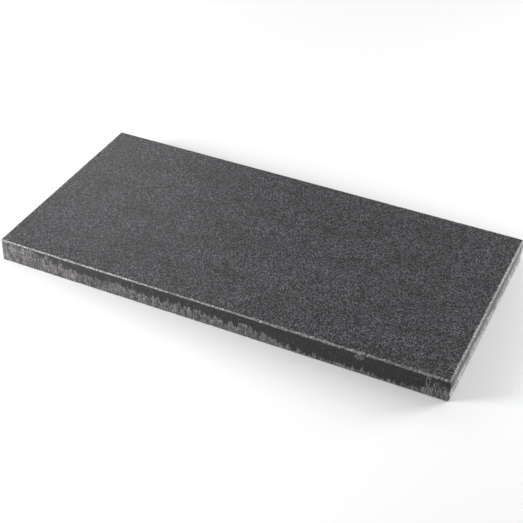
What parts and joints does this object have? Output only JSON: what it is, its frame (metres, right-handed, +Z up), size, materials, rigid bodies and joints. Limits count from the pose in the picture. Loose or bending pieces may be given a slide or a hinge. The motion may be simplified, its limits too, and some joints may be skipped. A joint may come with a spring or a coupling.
{
  "type": "granite slab",
  "caption": "Flat rectangular dark granite slab with a honed face, eased edges and rough-sawn sides, used as a hard, heavy base for tooling, stamping and skiving leather.",
  "frame": {"origin": "centre of the underside, on the surface that the slab lies on", "axes": "+Z up out of the honed working face, +X along the length, +Y across the width; the slab is symmetric about its middle planes, so left and right are interchangeable"},
  "size_m": [0.6096, 0.3048, 0.0318],
  "materials": {
    "stone": "honed dark grey granite, fine salt-and-pepper grain; sides saw-cut and only partly smoothed, lighter and rougher towards the underside"
  },
  "bodies": {
    "root": {"granite_slab": "stone"}
  },
  "joints": []
}
